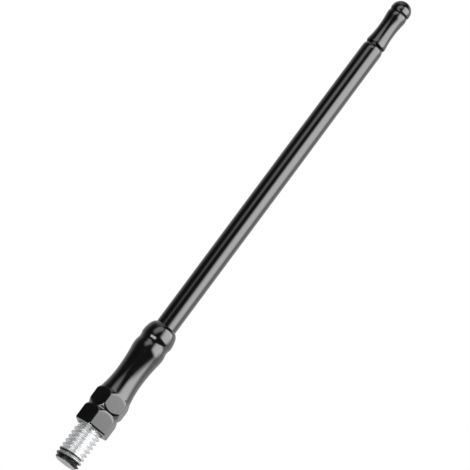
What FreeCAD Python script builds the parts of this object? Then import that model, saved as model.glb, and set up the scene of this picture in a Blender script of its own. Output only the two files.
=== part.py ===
# Short screw-in car antenna: a threaded stud, a double-hexagon handle, a slim mast rod and a domed finial.
# It stands on its axis, +Z towards the tip, with the origin in the handle's lower seat face. Millimetres.
import FreeCAD
import Part
import math
import os

from FreeCAD import Vector

# Threaded stud, 5/16 inch coarse thread, as the plain outer form of its thread
studRadius = 3.95
studReach = 12.2  # stands out below the handle
studHold = 10.0  # is screwed into the handle
studEndFaceRadius = 3.2
studEndTaper = 0.9
reliefRadius = 3.3  # plain turned neck where the stud leaves the handle
reliefReach = 0.9
reliefHold = 0.5

# Handle, turned from hexagon bar: two wrench bands with a V groove between them
hexAcrossFlats = 10.0
lowerHexLength = 5.85
upperHexLength = 5.9
chamferRootRadius = 4.95
chamferAngle = 33.0  # degrees from the axis

# Grip above the wrench bands: each rise is measured from the level before it
waistRadius = 4.22
waistRise = 6.7
swellingRadius = 4.87
swellingRise = 8.95
swellingCurve = 8.0
coveRadius = 4.55
coveRise = 2.5
coveShoulderCurve = 7.0
bulbRadius = 4.84
bulbRise = 1.7
bulbUnderCurve = 2.3
bulbSideCurve = 8.4
bulbSideTurn = 20.0  # degrees through which the bulb's side bends before its crown
bulbCrownCurve = 3.0
bulbTopRadius = 3.32

# Mast rod, straight with a slight taper below the finial and a screwed spigot at each end
rodLength = 100.1
rodRadius = 3.15
rodTaperLength = 38.0
rodHeadRadius = 3.08
rodHeadRounding = 1.4
footSpigotRadius = 2.5
footSpigotLength = 8.0
headSpigotRadius = 1.5
headSpigotLength = 6.0
spigotChamfer = 0.4

# Finial at the tip: collar, waist, bead, groove and a half-round dome
seamRadius = 2.66  # where the rod's rounded end meets the collar
collarRadius = 3.0
collarRise = 0.85
collarCurve = 3.2
tipWaistRadius = 2.62
tipWaistRise = 4.7
beadRadius = 2.98
beadRise = 5.0
beadCurve = 4.0
tipGrooveRadius = 2.72
tipGrooveRise = 1.3
domeRadius = 3.0
domeEdgeRise = 0.55  # the rounded lower edge of the dome
domeRise = 0.82

# Tapped blind holes that hold the stud and the two spigots
threadClearance = 0.05  # on the radius
holeRunout = 0.6  # left empty beyond the screwed end
holeCountersink = 0.25
drillPointAngle = 118.0

# Levels on the axis that the pieces share
handleFoot = 0.0
vGrooveLevel = handleFoot + lowerHexLength
hexTopLevel = vGrooveLevel + upperHexLength


def point(radius, height):
    return Vector(radius, 0, height)


def straight(*points):
    """Straight edges through the points, in order."""
    return [Part.LineSegment(a, b).toShape() for a, b in zip(points, points[1:])]


def arcAbout(centre, start, end):
    """The shorter arc from start to end round a centre."""
    outward = ((start - centre) + (end - centre)).normalize()
    middle = centre + outward * (end - centre).Length
    return Part.Arc(start, middle, end).toShape()


def centreBeside(crest, other):
    """Centre of the arc that runs parallel to the axis at the crest and passes through the other point."""
    rise = other.z - crest.z
    drop = crest.x - other.x
    return point(crest.x - (rise**2 + drop**2) / (2 * drop), crest.z)


def sCurve(start, end, crownCurve):
    """Two arcs, parallel to the axis at both ends. The fuller end has the crown's radius of curvature."""
    crest, waist = (start, end) if start.x > end.x else (end, start)
    drop = crest.x - waist.x
    bothCurves = ((crest.z - waist.z) ** 2 + drop**2) / (2 * drop)
    joint = crest + (waist - crest) * (crownCurve / bothCurves)
    return [
        arcAbout(centreBeside(start, joint), start, joint),
        arcAbout(centreBeside(end, joint), joint, end),
    ]


def turned(edges):
    """Solid turned about the axis from an outline that starts and ends on it."""
    face = Part.Face(Part.Wire(edges))
    return face.revolve(Vector(0, 0, 0), Vector(0, 0, 1), 360)


def blindHole(mouthHeight, towards, screwRadius, screwLength):
    """Tapped blind hole with a countersunk mouth and a drill point, cut upwards (1) or downwards (-1)."""
    radius = screwRadius + threadClearance
    depth = screwLength + holeRunout
    pointDepth = radius / math.tan(math.radians(drillPointAngle / 2))
    levels = [mouthHeight + towards * d for d in (0, holeCountersink, depth, depth + pointDepth)]
    return turned(
        straight(
            point(0, levels[0]),
            point(radius + holeCountersink, levels[0]),
            point(radius, levels[1]),
            point(radius, levels[2]),
            point(0, levels[3]),
            point(0, levels[0]),
        )
    )


def hexagonBar(length):
    corner = hexAcrossFlats / 2 / math.cos(math.radians(30))
    corners = [
        Vector(corner * math.cos(math.radians(60 * k)), corner * math.sin(math.radians(60 * k)), handleFoot)
        for k in range(7)
    ]
    return Part.Face(Part.makePolygon(corners)).extrude(Vector(0, 0, length))


def makeStud():
    bottom = handleFoot - studReach
    top = handleFoot + studHold
    return turned(
        straight(
            point(0, bottom),
            point(studEndFaceRadius, bottom),
            point(studRadius, bottom + studEndTaper),
            point(studRadius, handleFoot - reliefReach),
            point(reliefRadius, handleFoot - reliefReach),
            point(reliefRadius, handleFoot + reliefHold),
            point(studRadius, handleFoot + reliefHold),
            point(studRadius, top - studEndTaper),
            point(studEndFaceRadius, top),
            point(0, top),
            point(0, bottom),
        )
    )


def bulbCrown(crest):
    """The bulb's upper half: a gentle side, then a tighter crown that ends on a small flat land."""
    turn = math.radians(bulbSideTurn)
    sideCentre = crest - point(bulbSideCurve, 0)
    sideEnd = sideCentre + point(math.cos(turn), math.sin(turn)) * bulbSideCurve
    crownCentre = sideEnd - point(math.cos(turn), math.sin(turn)) * bulbCrownCurve
    landRise = math.sqrt(bulbCrownCurve**2 - (bulbTopRadius - crownCentre.x) ** 2)
    land = point(bulbTopRadius, crownCentre.z + landRise)
    return [arcAbout(sideCentre, crest, sideEnd), arcAbout(crownCentre, sideEnd, land)], land


def makeHandle():
    """Double-hexagon handle. Its chamfers are cones turned on the hexagon bar, so they cut curves into the flats."""
    blank = hexAcrossFlats / 2 / math.cos(math.radians(30)) + 0.5
    chamferRise = (blank - chamferRootRadius) / math.tan(math.radians(chamferAngle))
    hexTop = point(chamferRootRadius, hexTopLevel)
    waist = point(waistRadius, hexTopLevel + waistRise)
    swelling = point(swellingRadius, waist.z + swellingRise)
    cove = point(coveRadius, swelling.z + coveRise)
    bulb = point(bulbRadius, cove.z + bulbRise)
    crown, land = bulbCrown(bulb)
    outline = straight(
        point(0, handleFoot),
        point(blank, handleFoot),
        point(blank, vGrooveLevel - chamferRise),
        point(chamferRootRadius, vGrooveLevel),
        point(blank, vGrooveLevel + chamferRise),
        point(blank, hexTopLevel - chamferRise),
        hexTop,
    )
    outline += [arcAbout(centreBeside(waist, hexTop), hexTop, waist)]
    outline += sCurve(waist, swelling, swellingCurve)
    outline += sCurve(swelling, cove, coveShoulderCurve)
    outline += sCurve(cove, bulb, bulbUnderCurve)
    outline += crown
    outline += straight(land, point(0, land.z), point(0, handleFoot))
    hexLength = lowerHexLength + upperHexLength
    milledAway = Part.makeCylinder(blank + 1, hexLength, point(0, handleFoot)).cut(hexagonBar(hexLength))
    handle = turned(outline).cut(milledAway)
    handle = handle.cut(blindHole(handleFoot, 1, studRadius, studHold))
    handle = handle.cut(blindHole(land.z, -1, footSpigotRadius, footSpigotLength))
    return handle, land.z


def makeRod(foot):
    head = foot + rodLength
    sideEnd = point(rodHeadRadius, head - rodHeadRounding)
    seam = point(seamRadius, head)
    outline = straight(
        point(0, foot - footSpigotLength),
        point(footSpigotRadius - spigotChamfer, foot - footSpigotLength),
        point(footSpigotRadius, foot - footSpigotLength + spigotChamfer),
        point(footSpigotRadius, foot),
        point(rodRadius, foot),
        point(rodRadius, head - rodTaperLength),
        sideEnd,
    )
    outline += [arcAbout(centreBeside(sideEnd, seam), sideEnd, seam)]
    outline += straight(
        seam,
        point(headSpigotRadius, head),
        point(headSpigotRadius, head + headSpigotLength - spigotChamfer),
        point(headSpigotRadius - spigotChamfer, head + headSpigotLength),
        point(0, head + headSpigotLength),
        point(0, foot - footSpigotLength),
    )
    return turned(outline), head


def makeFinial(foot):
    seam = point(seamRadius, foot)
    collar = point(collarRadius, foot + collarRise)
    waist = point(tipWaistRadius, collar.z + tipWaistRise)
    bead = point(beadRadius, waist.z + beadRise)
    groove = point(tipGrooveRadius, bead.z + tipGrooveRise)
    domeEdge = point(domeRadius, groove.z + domeEdgeRise)
    dome = point(domeRadius, groove.z + domeRise)
    tip = point(0, dome.z + domeRadius)
    outline = straight(point(0, foot), seam)
    outline += [arcAbout(centreBeside(collar, seam), seam, collar)]
    outline += sCurve(collar, waist, collarCurve)
    outline += sCurve(waist, bead, beadCurve)
    outline += [arcAbout(centreBeside(bead, groove), bead, groove)]
    outline += [arcAbout(centreBeside(domeEdge, groove), groove, domeEdge)]
    outline += straight(domeEdge, dome)
    outline += [arcAbout(point(0, dome.z), dome, tip)]
    outline += straight(tip, point(0, foot))
    return turned(outline).cut(blindHole(foot, 1, headSpigotRadius, headSpigotLength))


handle, handleTop = makeHandle()
rod, rodTop = makeRod(handleTop)
pieces = {
    "threaded_stud": makeStud(),
    "hex_handle": handle,
    "mast_rod": rod,
    "tip_finial": makeFinial(rodTop),
}

os.makedirs("parts", exist_ok=True)
for name, piece in pieces.items():
    box = piece.optimalBoundingBox(False)
    print(f"{name}: {len(piece.Solids)} solid, z {box.ZMin:.2f} to {box.ZMax:.2f}, volume {piece.Volume:.1f}")
    piece.exportStep(f"parts/{name}.step")
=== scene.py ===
import math

import bpy
from mathutils import Matrix, Vector


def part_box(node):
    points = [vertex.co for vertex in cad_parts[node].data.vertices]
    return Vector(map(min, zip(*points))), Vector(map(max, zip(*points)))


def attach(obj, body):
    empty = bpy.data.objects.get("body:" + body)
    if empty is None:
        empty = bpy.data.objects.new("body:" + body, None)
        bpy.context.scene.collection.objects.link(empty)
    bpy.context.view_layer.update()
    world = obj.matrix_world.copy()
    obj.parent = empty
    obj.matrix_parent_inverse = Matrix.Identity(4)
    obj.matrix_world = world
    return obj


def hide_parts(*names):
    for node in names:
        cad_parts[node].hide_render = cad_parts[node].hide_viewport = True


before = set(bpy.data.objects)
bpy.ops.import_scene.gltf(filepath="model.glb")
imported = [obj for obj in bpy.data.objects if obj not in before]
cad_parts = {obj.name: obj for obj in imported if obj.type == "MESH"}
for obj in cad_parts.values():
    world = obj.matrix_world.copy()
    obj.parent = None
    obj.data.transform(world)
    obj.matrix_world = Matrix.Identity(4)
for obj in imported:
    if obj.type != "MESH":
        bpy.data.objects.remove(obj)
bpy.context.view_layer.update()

mm = 0.001
up = Vector((0, 0, 1))


class Wire:
    # a node's output that can stand in a sum; one without a socket only adds nodes
    def __init__(self, tree, socket=None):
        self.tree = tree
        self.socket = socket

    def add(self, kind, settings, sockets, output=0):
        made = self.tree.nodes.new(kind)
        for name, value in settings.items():
            setattr(made, name, value)
        for name, value in sockets.items():
            if isinstance(value, Wire):
                self.tree.links.new(value.socket, made.inputs[name])
            else:
                made.inputs[name].default_value = value
        return Wire(self.tree, made.outputs[output] if made.outputs else None)

    def work(self, operation, first, second):
        return self.add("ShaderNodeMath", {"operation": operation}, {0: first, 1: second})

    def __add__(self, other):
        return self.work("ADD", self, other)

    def __radd__(self, other):
        return self.work("ADD", other, self)

    def __sub__(self, other):
        return self.work("SUBTRACT", self, other)

    def __rsub__(self, other):
        return self.work("SUBTRACT", other, self)

    def __mul__(self, other):
        return self.work("MULTIPLY", self, other)

    def __rmul__(self, other):
        return self.work("MULTIPLY", other, self)

    def along(self, axis):
        # one of a vector's three numbers
        return self.add("ShaderNodeSeparateXYZ", {}, {0: self}, output=axis)

    def step(self, low, high):
        # 0 below low and 1 above high, or the reverse when low is the larger
        return self.add("ShaderNodeMapRange", {"clamp": True, "interpolation_type": "SMOOTHSTEP"}, {
            "Value": self, "From Min": low, "From Max": high, "To Min": 0.0, "To Max": 1.0})

    def between(self, first, second):
        # a colour between two, by this value
        return self.add("ShaderNodeMix", {"data_type": "RGBA"}, {0: self, 6: first, 7: second}, output=2)


def newMaterial(name):
    material = bpy.data.materials.new(name)
    material.use_nodes = True
    material.node_tree.nodes.clear()
    return material, Wire(material.node_tree)


def finishMaterial(nodes, surface):
    nodes.add("ShaderNodeOutputMaterial", {}, {"Surface": surface})


def gray(level):
    return (level, level, level, 1)


photo = {
    "width": 470,  # pixels, both ways
    "pixelSize": 0.281 * mm,  # across the mast
    "cameraSide": -107.0,  # degrees in plan, from the axis towards the camera
    "cameraRise": -10.5,  # the camera looks up at the mast a little
    "mastLean": 36.6,  # degrees, to the right of upright in the picture
    "aimHeight": 68.85 * mm,
    "aimAcross": 0.10 * mm,
    "distance": 5.0,  # metres, far off, because the photo shows no perspective
    "clipStart": 0.05,  # metres
    "sensor": 36.0,  # its width, as Blender's lenses count it
}


def fromAxis(azimuth, elevation):
    # direction from the mast, azimuth in degrees to the right of the camera's side
    turn = math.radians(photo["cameraSide"] + azimuth)
    rise = math.radians(elevation)
    return Vector((math.cos(turn) * math.cos(rise), math.sin(turn) * math.cos(rise), math.sin(rise)))


def makeCamera():
    back = fromAxis(0, photo["cameraRise"])
    across = up.cross(back).normalized()
    upright = back.cross(across)
    lean = math.radians(photo["mastLean"])
    right = across * math.cos(lean) + upright * math.sin(lean)
    top = upright * math.cos(lean) - across * math.sin(lean)
    aim = up * photo["aimHeight"] + across * photo["aimAcross"]
    data = bpy.data.cameras.new("photoCamera")
    data.sensor_width = photo["sensor"]
    data.lens = photo["sensor"] * photo["distance"] / (photo["width"] * photo["pixelSize"])
    data.clip_start = photo["clipStart"]
    camera = bpy.data.objects.new("photoCamera", data)
    turned = Matrix((right, top, back)).transposed().to_4x4()
    camera.matrix_world = Matrix.Translation(aim + back * photo["distance"]) @ turned
    bpy.context.scene.collection.objects.link(camera)
    bpy.context.scene.camera = camera
    print("camera made")


lamps = {
    # azimuth and elevation lead from the mast to the lamp's middle, reach metres away; wide and high are the
    # angles it covers, and lean turns it in its own plane; the soft values are the shares of its width and
    # height over which its cloth fades out
    "keyBox": {
        "azimuth": 50, "elevation": 27, "wide": 88, "high": 72, "lean": 20, "reach": 0.55, "bright": 3.15,
        "softSide": 0.36, "softFoot": 0.26, "softTop": 0.12},
    "sideStrip": {
        "azimuth": -34, "elevation": 31, "wide": 45, "high": 64, "lean": 36, "reach": 0.55, "bright": 1.04,
        "softSide": 0.4, "softFoot": 0.38, "softTop": 0.2},
    "lowPanel": {
        "azimuth": -32, "elevation": -34, "wide": 46, "high": 44, "lean": 0, "reach": 0.9, "bright": 3.3,
        "softSide": 0.15, "softFoot": 0.15, "softTop": 0.1},
}
lampHeight = 70 * mm  # the level on the mast that the lamps face


def makeLamp(name, facts):
    towards = fromAxis(facts["azimuth"], facts["elevation"])
    across = up.cross(towards).normalized()
    upright = towards.cross(across)
    lean = math.radians(facts["lean"])
    right = across * math.cos(lean) - upright * math.sin(lean)
    top = upright * math.cos(lean) + across * math.sin(lean)
    data = bpy.data.lights.new(name, "AREA")
    data.shape = "RECTANGLE"
    data.size = 2 * facts["reach"] * math.tan(math.radians(facts["wide"] / 2))
    data.size_y = 2 * facts["reach"] * math.tan(math.radians(facts["high"] / 2))
    data.energy = facts["bright"] * math.pi * data.size * data.size_y
    data.use_nodes = True
    data.node_tree.nodes.clear()
    nodes = Wire(data.node_tree)
    cloth = nodes.add("ShaderNodeNewGeometry", {}, {}, output="Parametric")  # 0 to 1, across it and up it
    sideways, upwards = cloth.along("X"), cloth.along("Y")
    fade = sideways.step(0, facts["softSide"]) * sideways.step(1, 1 - facts["softSide"])
    fade = fade * upwards.step(0, facts["softFoot"]) * upwards.step(1, 1 - facts["softTop"])
    glow = nodes.add("ShaderNodeEmission", {}, {"Color": gray(1.0), "Strength": fade})
    nodes.add("ShaderNodeOutputLight", {}, {"Surface": glow})
    lamp = bpy.data.objects.new(name, data)
    lamp.visible_camera = False
    turned = Matrix((right, top, towards)).transposed().to_4x4()
    lamp.matrix_world = Matrix.Translation(up * lampHeight + towards * facts["reach"]) @ turned
    bpy.context.scene.collection.objects.link(lamp)
    print(name, "made")


room = {
    # what the coat mirrors; each pair is where a part of the room begins and where it is in full, in degrees
    # to the right of the camera's side, or as a height from -1, straight down, to 1, straight up
    "rightWall": (74, 86),  # degrees
    "rightLevel": 0.62,
    "rightBehind": (130, 155),
    "behindDrop": 0.14,  # it is that much darker behind the mast
    "leftWall": (-83, -140),
    "leftLevel": 0.42,
    "wallsOverFoot": (-0.85, -0.5),  # heights
    "wallsUnderTop": (0.95, 0.7),
    "overhead": (0.5, 0.95),
    "overheadSide": (-30, -80),  # degrees, so that it hangs to the left
    "overheadLevel": 0.5,
    "below": (-0.8, -0.9),
    "front": 0.017,  # the level that is left in the dark
}


def makeWorld():
    world = bpy.data.worlds.new("whiteRoom")
    bpy.context.scene.world = world
    world.use_nodes = True
    world.node_tree.nodes.clear()
    nodes = Wire(world.node_tree)
    direction = nodes.add("ShaderNodeTexCoord", {}, {})
    towardsCamera = nodes.add("ShaderNodeVectorMath", {"operation": "DOT_PRODUCT"}, {
        0: direction, 1: fromAxis(0, 0)}, output="Value")
    towardsRight = nodes.add("ShaderNodeVectorMath", {"operation": "DOT_PRODUCT"}, {
        0: direction, 1: fromAxis(90, 0)}, output="Value")
    turn = nodes.work("ARCTAN2", towardsRight, towardsCamera) * (180 / math.pi)
    rise = direction.along("Z")
    rightWall = turn.step(*room["rightWall"]) * (
        room["rightLevel"] - turn.step(*room["rightBehind"]) * room["behindDrop"])
    leftWall = turn.step(*room["leftWall"]) * room["leftLevel"]
    walls = (rightWall + leftWall) * rise.step(*room["wallsOverFoot"]) * rise.step(*room["wallsUnderTop"])
    overhead = rise.step(*room["overhead"]) * turn.step(*room["overheadSide"])
    overhead = overhead * (room["overheadLevel"] - leftWall)
    mirrored = walls + overhead + rise.step(*room["below"]) + room["front"]
    seen = nodes.add("ShaderNodeLightPath", {}, {}, output="Is Camera Ray")
    through = nodes.add("ShaderNodeLightPath", {}, {}, output="Is Transmission Ray")
    white = nodes.work("MAXIMUM", seen, through)
    level = mirrored + white * (1 - mirrored)
    background = nodes.add("ShaderNodeBackground", {}, {"Color": level, "Strength": 1.0})
    nodes.add("ShaderNodeOutputWorld", {}, {"Surface": background})
    print("room made")


def ringPoints(sides, height, radiusAt):
    # one row of a turned form; radiusAt gives the radius at a plan angle in radians
    points = []
    for k in range(sides):
        turn = 2 * math.pi * k / sides
        radius = radiusAt(turn)
        points.append((radius * math.cos(turn), radius * math.sin(turn), height))
    return points


paleFloor = {
    "drop": 0.75,  # metres below the seat face, because the camera looks up
    "radius": 1.3,  # metres
    "sides": 64,
    "paper": 0.8,  # what it gives back to the mast; a camera sees it white
}


def makeFloor():
    sides = paleFloor["sides"]
    mesh = bpy.data.meshes.new("floor")
    mesh.from_pydata(ringPoints(sides, 0, lambda turn: paleFloor["radius"]), [], [tuple(range(sides))])
    floor = bpy.data.objects.new("floor", mesh)
    floor.location = (0, 0, -paleFloor["drop"])
    floor.visible_glossy = False
    material, nodes = newMaterial("paleFloor")
    seen = nodes.add("ShaderNodeLightPath", {}, {}, output="Is Camera Ray")
    paper = nodes.add("ShaderNodeBsdfDiffuse", {}, {"Color": gray(paleFloor["paper"])})
    white = nodes.add("ShaderNodeEmission", {}, {"Color": gray(1.0), "Strength": 1.0})
    finishMaterial(nodes, nodes.add("ShaderNodeMixShader", {}, {0: seen, 1: paper, 2: white}))
    mesh.materials.append(material)
    bpy.context.scene.collection.objects.link(floor)
    print("floor made")


def closedRows(points, sides, foot, head):
    # side faces between the rows of a turned form, and a fan from each end to its middle point, which it adds
    levels = len(points) // sides
    faces = []
    for row in range(levels - 1):
        for k in range(sides):
            a, b = row * sides + k, row * sides + (k + 1) % sides
            faces.append((a, b, b + sides, a + sides))
    footPoint, headPoint = len(points), len(points) + 1
    points += [foot, head]
    last = (levels - 1) * sides
    for k in range(sides):
        after = (k + 1) % sides
        faces.append((footPoint, after, k))
        faces.append((headPoint, last + k, last + after))
    return faces


def finishPiece(name, points, faces, node, material, sharpAngle):
    mesh = bpy.data.meshes.new(name)
    mesh.from_pydata(points, [], faces)
    mesh.validate()
    mesh.shade_smooth()
    mesh.set_sharp_from_angle(angle=math.radians(sharpAngle))
    mesh.materials.append(material)
    piece = bpy.data.objects.new(name, mesh)
    bpy.context.scene.collection.objects.link(piece)
    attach(piece, "root")
    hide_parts(node)
    print(name, "made,", len(faces), "faces")


brightPlate = {
    "color": (0.94, 0.945, 0.95, 1),
    "shade": (0.88, 0.89, 0.905, 1),
    "cloudSize": 0.9 * mm,
    "cloudDetail": 4.0,
    "shadeEdges": (0.3, 0.8),
    "metal": 0.62,  # the rest is the pale passivated layer
    "roughness": 0.21,
    "roughnessCloud": 0.08,
    "turned": 0.75,  # how far the turning marks draw its reflections out along the axis
    "turnedAlong": 0.25,  # of a full turn
    "darkColor": (0.012, 0.012, 0.013, 1),
    "darkTop": -9.0 * mm,  # the last turns are dark below this
    "darkEdge": 0.2 * mm,
    "darkFeather": 0.3 * mm,
    "paintedHighlightFoot": -10.4 * mm,  # but above this the upper flanks that face up stay bright: a painted highlight
    "paintedHighlightFacing": (-0.3, 0.25),
    "crest": 3.78 * mm,  # and the crests a little: a painted highlight
    "crestEdge": 0.1 * mm,
    "crestHighlightShare": 0.3,
    "endFace": (-12.18 * mm, -12.12 * mm),  # heights between the end face and where the dark is in full
    "endFaceDark": 0.25,  # how much of the dark the face itself has
}


def makeBrightPlate():
    material, nodes = newMaterial("brightStud")
    place = nodes.add("ShaderNodeTexCoord", {}, {}, output="Object")
    height = place.along("Z")
    facing = nodes.add("ShaderNodeTexCoord", {}, {}, output="Normal").along("Z")
    flat = nodes.add("ShaderNodeVectorMath", {"operation": "MULTIPLY"}, {0: place, 1: (1, 1, 0)})
    radius = nodes.add("ShaderNodeVectorMath", {"operation": "LENGTH"}, {0: flat}, output="Value")
    cloud = nodes.add("ShaderNodeTexNoise", {}, {
        "Vector": place, "Scale": 1 / brightPlate["cloudSize"], "Detail": brightPlate["cloudDetail"]})
    ragged = height + (cloud - 0.5) * brightPlate["darkFeather"]
    darkTop, paintedHighlightFoot, edge = brightPlate["darkTop"], brightPlate["paintedHighlightFoot"], brightPlate["darkEdge"]
    below = ragged.step(darkTop, darkTop - edge)
    # painted highlight: flanks whose normal points up are kept out of the dark, as if lit from above
    paintedFlankHighlight = facing.step(*brightPlate["paintedHighlightFacing"]) * ragged.step(paintedHighlightFoot, paintedHighlightFoot + edge)
    crest = brightPlate["crest"]
    # painted highlight on the crests, lightening the dark there
    paintedCrestHighlight = radius.step(crest, crest + brightPlate["crestEdge"]) * brightPlate["crestHighlightShare"]
    faceDark = brightPlate["endFaceDark"]
    thinned = height.step(*brightPlate["endFace"]) * (1 - faceDark) + faceDark  # the end face is only grayed
    dark = below * (1 - paintedFlankHighlight) * (1 - paintedCrestHighlight) * thinned
    metal = cloud.step(*brightPlate["shadeEdges"]).between(brightPlate["color"], brightPlate["shade"])
    surface = nodes.add("ShaderNodeBsdfPrincipled", {}, {
        "Base Color": dark.between(metal, brightPlate["darkColor"]),
        "Metallic": (1 - dark) * brightPlate["metal"],
        "Roughness": cloud * brightPlate["roughnessCloud"] + brightPlate["roughness"],
        "Anisotropic": brightPlate["turned"],
        "Anisotropic Rotation": brightPlate["turnedAlong"],
    })
    finishMaterial(nodes, surface)
    return material


thread = {
    "pitch": 1.411 * mm,
    "crestRadius": 3.95 * mm,
    "rootRadius": 3.2 * mm,
    "crestFlat": 0.2,  # of the pitch
    "rootFlat": 0.16,
    "roundness": 0.5,  # of the flanks: 0 leaves them straight
    "crestAtRight": -1.55 * mm,  # height of a crest on the photo's right
    "endFaceRadius": 3.2 * mm,
    "endTaper": 0.9 * mm,
    "neckRadius": 3.3 * mm,
    "neckBottom": -0.9 * mm,
    "neckTop": 0.5 * mm,
    "neckStep": 0.02 * mm,
    "runOut": 1.4,  # how steeply the thread rises from the neck
    "sides": 144,
    "rowsPerTurn": 28,
    "sharpAngle": 40,
}


def smoothStep(value):
    return value * value * (3 - 2 * value)


def threadRadius(height, turn):
    # trapezoid thread form with rounded flanks, right-hand
    right = math.radians(photo["cameraSide"] + 90)
    climb = thread["crestAtRight"] + thread["pitch"] * (turn - right) / (2 * math.pi)
    phase = abs(((height - climb) / thread["pitch"] + 0.5) % 1 - 0.5)  # 0 on a crest, 0.5 in a root
    start = thread["crestFlat"] / 2
    span = 0.5 - start - thread["rootFlat"] / 2
    straight = min(max((phase - start) / span, 0), 1)
    fall = (1 - thread["roundness"]) * straight + thread["roundness"] * smoothStep(straight)
    return thread["crestRadius"] + (thread["rootRadius"] - thread["crestRadius"]) * fall


def makeStud():
    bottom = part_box("threaded_stud")[0].z
    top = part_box("threaded_stud")[1].z
    crest, neck, face = thread["crestRadius"], thread["neckRadius"], thread["endFaceRadius"]
    neckBottom, neckTop, taper = thread["neckBottom"], thread["neckTop"], thread["endTaper"]
    reach = neckBottom - bottom
    count = round(reach / thread["pitch"] * thread["rowsPerTurn"])
    points = []
    for k in range(count + 1):
        height = bottom + reach * k / count
        lead = face + (height - bottom) * ((crest - face) / taper)
        runOut = neck + (neckBottom - height) * thread["runOut"]
        limit = min(lead, runOut)
        points += ringPoints(thread["sides"], height, lambda turn: min(limit, threadRadius(height, turn)))
    plain = [
        (neckBottom + thread["neckStep"], neck),
        (neckTop, neck),
        (neckTop + thread["neckStep"], crest),
        (top - taper, crest),
        (top, face),
    ]
    for height, radius in plain:
        points += ringPoints(thread["sides"], height, lambda turn: radius)
    faces = closedRows(points, thread["sides"], (0, 0, bottom), (0, 0, top))
    plate = makeBrightPlate()
    finishPiece("threadedStud", points, faces, "threaded_stud", plate, thread["sharpAngle"])


blackCoat = {
    "base": 0.004,
    "mottle": 0.002,
    "mottleSize": 6 * mm,
    "mottleDetail": 3.0,
    "mottleEdges": (0.35, 0.75),
    "roughness": 0.10,
    "roughnessMottle": 0.05,
    "coatRoughness": 0.02,
    "ior": 1.67,
    "peelSize": 1.6 * mm,
    "peelDetail": 2.0,
    "peelHeight": 0.0001 * mm,
    "ringSize": 0.12 * mm,  # turning marks that show through
    "ringHeight": 0.00001 * mm,
    # painted shade in the tip's crevices, made by taking gloss from the coat
    "creviceLevels": (136.2 * mm, 147.75 * mm),  # the tip's seam under its collar and groove under its dome
    "creviceReach": 0.42 * mm,
    "creviceEdge": 0.6,  # of that reach, where the painted shade is in full
    "paintedShadeDepth": 0.85,  # how much of the gloss is taken away there: painted shade that darkens the crevices
}


def makeGlossBlack(name, ringed):
    material, nodes = newMaterial(name)
    place = nodes.add("ShaderNodeTexCoord", {}, {}, output="Object")
    level = place.along("Z")
    blotch = nodes.add("ShaderNodeTexNoise", {}, {
        "Vector": place, "Scale": 1 / blackCoat["mottleSize"], "Detail": blackCoat["mottleDetail"]})
    mottled = blotch.step(*blackCoat["mottleEdges"])
    peel = nodes.add("ShaderNodeTexNoise", {}, {
        "Vector": place, "Scale": 1 / blackCoat["peelSize"], "Detail": blackCoat["peelDetail"]})
    height = peel * blackCoat["peelHeight"]
    if ringed:
        rings = nodes.add("ShaderNodeTexNoise", {"noise_dimensions": "1D"}, {
            "W": level * (1 / blackCoat["ringSize"]), "Scale": 1.0, "Detail": 1.0})
        height = height + rings * blackCoat["ringHeight"]
    # painted shade: the coat loses its gloss near the tip's crevices, which darkens them
    paintedShade = 0.0
    reach = blackCoat["creviceReach"]
    for crevice in blackCoat["creviceLevels"]:
        away = nodes.work("ABSOLUTE", level - crevice, 0.0)
        paintedShade = paintedShade + away.step(reach, reach * blackCoat["creviceEdge"]) * blackCoat["paintedShadeDepth"]
    surface = nodes.add("ShaderNodeBsdfPrincipled", {}, {
        "Base Color": mottled.between(gray(blackCoat["base"]), gray(blackCoat["base"] + blackCoat["mottle"])),
        "Metallic": paintedShade,
        "Roughness": mottled * blackCoat["roughnessMottle"] + blackCoat["roughness"],
        "IOR": blackCoat["ior"],
        "Coat Weight": 1 - paintedShade,
        "Coat Roughness": blackCoat["coatRoughness"],
        "Coat IOR": blackCoat["ior"],
        "Normal": nodes.add("ShaderNodeBump", {}, {"Strength": 1.0, "Distance": 1.0, "Height": height}),
    })
    finishMaterial(nodes, surface)
    return material


handle = {  # a station of the turned outline is a radius and a height
    "acrossFlats": 10.0 * mm,
    "grooveLevel": 5.85 * mm,
    "hexTop": (4.95 * mm, 11.75 * mm),
    "chamferAngle": 33,  # degrees from the axis
    "waist": (4.22 * mm, 18.45 * mm),
    "swelling": (4.87 * mm, 27.40 * mm),
    "cove": (4.55 * mm, 29.90 * mm),
    "bulb": (4.84 * mm, 31.60 * mm),
    "swellingCurves": (8.0 * mm, 7.0 * mm),  # below and above its crest
    "bulbCurves": (2.3 * mm, 8.4 * mm, 3.0 * mm),  # below its crest, its side, and its crown
    "sideTurn": 20,  # degrees through which the bulb's side bends
    "landRadius": 3.32 * mm,
    "studHole": (4.0 * mm, 10.6 * mm),  # radius and depth
    "rodHole": (2.55 * mm, 8.6 * mm),
    "countersink": 0.25 * mm,
    "drillPoint": 59,  # half its angle
    "cornerRounding": 0.26 * mm,  # edges as the coat leaves them
    "chamferRounding": 0.30 * mm,
    "footChamfer": (0.18 * mm, 0.36 * mm),  # its inset and its rise
    "footEased": 0.1,  # the share of it that its eased edges take at each end
    "footEdges": (0.03 * mm, 0.02 * mm),  # how far they reach, up from the foot and up beyond the chamfer
    "footLand": 0.1 * mm,  # flat ring of the foot just inside it
    "sides": 360,
    "hexRow": 0.09 * mm,
    "gripRow": 0.30 * mm,
    "sideRows": 10,
    "crownRows": 14,
    "sharpAngle": 35,
}


def smoothMin(first, second, blend):
    overlap = max(blend - abs(first - second), 0) / blend
    return min(first, second) - overlap * overlap * blend / 4


def hexRadius(turn):
    # of the hexagon bar with its corners eased
    third = math.pi / 3
    offFlat = abs((turn - third / 2) % third - third / 2)
    nearest = handle["acrossFlats"] / 2 / math.cos(third / 2 - offFlat)
    beside = handle["acrossFlats"] / 2 / math.cos(third / 2 + offFlat)
    return smoothMin(nearest, beside, handle["cornerRounding"])


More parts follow.
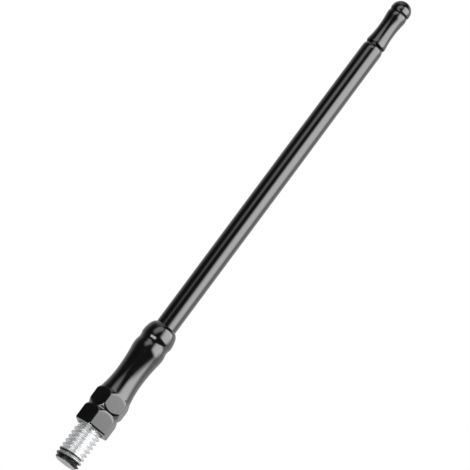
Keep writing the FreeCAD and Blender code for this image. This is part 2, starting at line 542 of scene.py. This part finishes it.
def bowed(height, crest, hollow, crestCurve):
    # radius on two arcs that run from a crest to a hollow, both parallel to the axis at their ends
    drop = crest[0] - hollow[0]
    span = abs(crest[1] - hollow[1])
    bothCurves = (span**2 + drop**2) / (2 * drop)
    away = abs(height - crest[1])
    if away < span * crestCurve / bothCurves:
        return crest[0] - crestCurve + math.sqrt(crestCurve**2 - away**2)
    hollowCurve = bothCurves - crestCurve
    return hollow[0] + hollowCurve - math.sqrt(hollowCurve**2 - (span - away) ** 2)


def gripRadius(height):
    waist, swelling, cove, bulb = (handle[name] for name in ("waist", "swelling", "cove", "bulb"))
    if height < waist[1]:
        return bowed(height, handle["hexTop"], waist, 0)
    if height < swelling[1]:
        return bowed(height, swelling, waist, handle["swellingCurves"][0])
    if height < cove[1]:
        return bowed(height, swelling, cove, handle["swellingCurves"][1])
    return bowed(height, bulb, cove, handle["bulbCurves"][0])


def handleRows():
    # outline from the stud's hole up the outside to the rod's hole, then the two drill points
    # a row is a radius, a height and how far it lies inside the hexagon bar; no radius is the bar's own
    slope = math.tan(math.radians(handle["chamferAngle"]))
    point = math.tan(math.radians(handle["drillPoint"]))
    root, hexTop = handle["hexTop"]
    sink = handle["countersink"]
    hole, depth = handle["studHole"]
    foot = (0, 0, depth + hole / point)
    inset, rise = handle["footChamfer"]
    eased = handle["footEased"]
    lower, upper = handle["footEdges"]
    rows = [(hole, depth, 0), (hole, sink, 0), (hole + sink, 0, 0)]
    rows += [(None, 0, inset + handle["footLand"]), (None, 0, inset), (None, lower, inset * (1 - eased))]
    rows += [(None, rise * (1 - eased), inset * eased), (None, rise + upper, 0)]
    count = round((hexTop - rise) / handle["hexRow"])
    for k in range(1, count + 1):
        height = rise + (hexTop - rise) * k / count
        fromEdge = min(abs(height - handle["grooveLevel"]), hexTop - height)
        rows.append((root + fromEdge * slope, height, 0))
    crest, bulbTop = handle["bulb"]
    count = round((bulbTop - hexTop) / handle["gripRow"])
    for k in range(1, count + 1):
        height = hexTop + (bulbTop - hexTop) * k / count
        rows.append((gripRadius(height), height, 0))
    side, crown = handle["bulbCurves"][1:]
    turn = math.radians(handle["sideTurn"])
    for k in range(1, handle["sideRows"] + 1):
        bend = turn * k / handle["sideRows"]
        rows.append((crest - side * (1 - math.cos(bend)), bulbTop + side * math.sin(bend), 0))
    centre = rows[-1][0] - crown * math.cos(turn), rows[-1][1] - crown * math.sin(turn)
    last = math.acos((handle["landRadius"] - centre[0]) / crown)
    for k in range(1, handle["crownRows"] + 1):
        bend = turn + (last - turn) * k / handle["crownRows"]
        rows.append((centre[0] + crown * math.cos(bend), centre[1] + crown * math.sin(bend), 0))
    top = rows[-1][1]
    hole, depth = handle["rodHole"]
    rows += [(hole + sink, top, 0), (hole, top - sink, 0), (hole, top - depth, 0)]
    return rows, foot, (0, 0, top - depth - hole / point)


def handleRadius(radius, height, inset, turn):
    # the hexagon's flats cut the outline up to the grip's waist, outside the stud's hole
    if radius is None:
        return hexRadius(turn) - inset
    if height < handle["waist"][1] and radius > handle["studHole"][0] + 2 * handle["countersink"]:
        return smoothMin(hexRadius(turn), radius, handle["chamferRounding"])
    return radius


def makeHandle():
    rows, foot, head = handleRows()
    points = []
    for row in rows:
        points += ringPoints(handle["sides"], row[1], lambda turn: handleRadius(*row, turn))
    faces = closedRows(points, handle["sides"], foot, head)
    coat = makeGlossBlack("handleCoat", True)
    finishPiece("hexHandle", points, faces, "hex_handle", coat, handle["sharpAngle"])


bpy.context.scene.view_settings.view_transform = "Standard"
makeCamera()
makeWorld()
makeFloor()
for name, facts in lamps.items():
    makeLamp(name, facts)
makeStud()
makeHandle()
for node, ringed in (("mast_rod", False), ("tip_finial", True)):  # these two keep the solids' own meshes
    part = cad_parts[node]
    part.data.materials.clear()
    part.data.materials.append(makeGlossBlack(node + "Coat", ringed))
    print(node, "coated")
